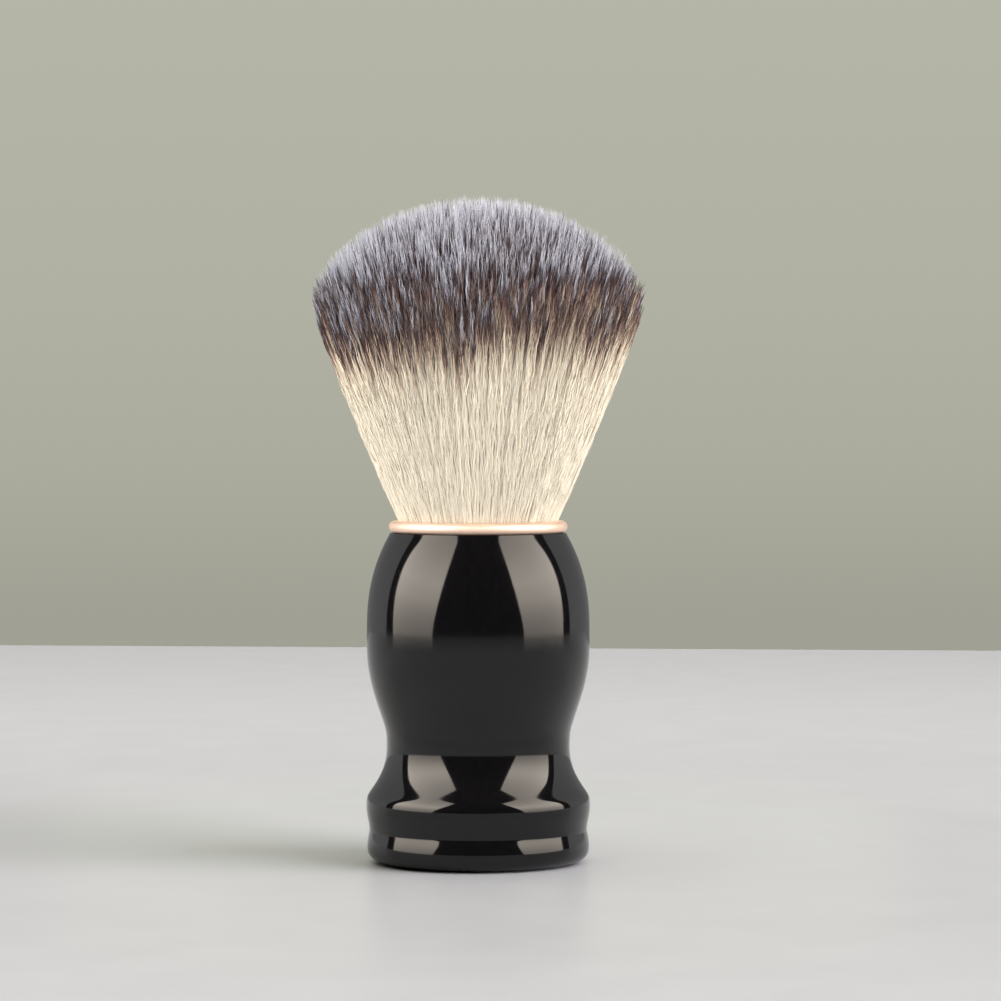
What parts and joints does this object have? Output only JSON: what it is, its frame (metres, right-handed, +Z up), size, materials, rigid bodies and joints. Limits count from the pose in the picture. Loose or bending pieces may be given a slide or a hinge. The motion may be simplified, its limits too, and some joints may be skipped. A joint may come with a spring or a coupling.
{
  "type": "shaving brush",
  "caption": "Shaving brush: a gloss black waisted handle with a weighted foot, a rose gold collar, and a fan-shaped synthetic knot that bends.",
  "frame": {"origin": "centre of the face that the brush stands on", "axes": "+Z up along the brush's axis of symmetry, from the foot to the tips; X and Y are any two level directions, and the neck's hinge is along X"},
  "size_m": [0.0548, 0.0548, 0.1098],
  "materials": {
    "handle_shell": "polished black",
    "base_plug": "moulded black",
    "foot_pad": "matte black foam rubber",
    "balance_weight": "turned steel",
    "weight_damper": "closed-cell foam",
    "cup_adhesive": "set glue",
    "knot_cup": "moulded natural plastic",
    "potting_resin": "clear amber epoxy",
    "binding_cord": "waxed cord",
    "collar_ring": "polished rose gold plating",
    "bristle_roots": "cream synthetic fibre",
    "bristle_neck": "cream synthetic fibre",
    "bristle_head": "cream to brown-black fibre with silver tips"
  },
  "bodies": {
    "handle": {"handle_shell": "handle_shell", "base_plug": "base_plug", "foot_pad": "foot_pad", "balance_weight": "balance_weight", "weight_damper": "weight_damper", "cup_adhesive": "cup_adhesive", "knot_cup": "knot_cup", "potting_resin": "potting_resin", "binding_cord": "binding_cord", "collar_ring": "collar_ring", "bristle_roots": "bristle_roots"},
    "neck": {"bristle_neck": "bristle_neck"},
    "head": {"bristle_head": "bristle_head"}
  },
  "joints": [
    {"name": "neck_bend", "type": "hinge", "parent": "handle", "child": "neck", "pos_m": [0, 0, 0.0635], "axis": [1, 0, 0], "range_deg": [-18, 18], "stiffness_Nm_per_rad": 0.25},
    {"name": "head_bend", "type": "hinge", "parent": "neck", "child": "head", "pos_m": [0, 0, 0.077], "axis": [0, 1, 0], "range_deg": [-16, 16], "stiffness_Nm_per_rad": 0.18}
  ]
}
